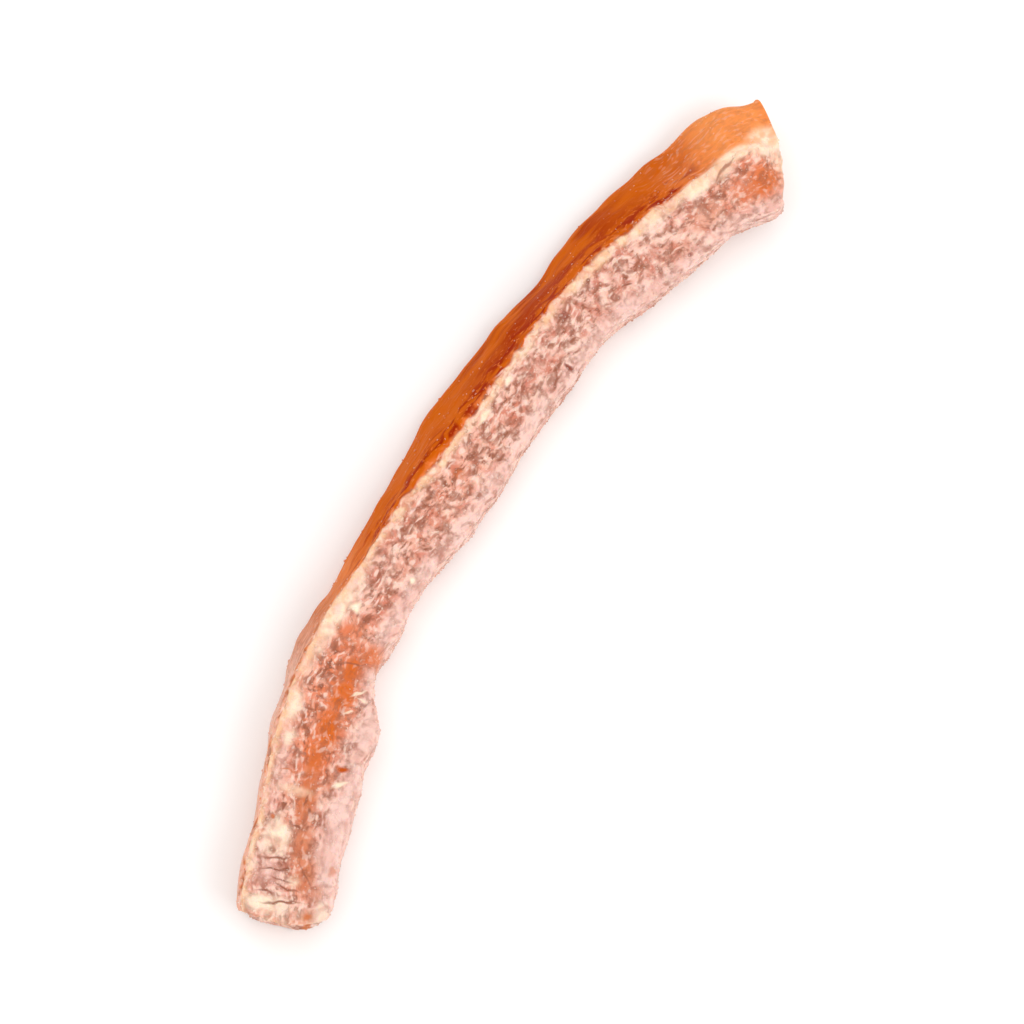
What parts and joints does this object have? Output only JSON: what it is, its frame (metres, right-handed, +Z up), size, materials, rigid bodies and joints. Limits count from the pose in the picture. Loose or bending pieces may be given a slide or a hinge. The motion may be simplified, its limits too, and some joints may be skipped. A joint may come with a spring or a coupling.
{
  "type": "dried papaya strip",
  "caption": "Long bent strip of sugar-frosted dried papaya: a bare flank and a broad frosted face meet at a ridge, then it twists level to a blunt end.",
  "frame": {"origin": "middle of the strip's outline seen from above, on the plane of its flat underside", "axes": "+Z up from the surface that it lies on; +Y along its longer side, from the blunt end to the notched end; +X to the side that the notched end leans to"},
  "size_m": [0.0542, 0.085, 0.0096],
  "materials": {
    "frosted_papaya": "dry sugar bloom over translucent orange candied flesh"
  },
  "bodies": {
    "root": {"papaya_strip": "frosted_papaya"}
  },
  "joints": []
}
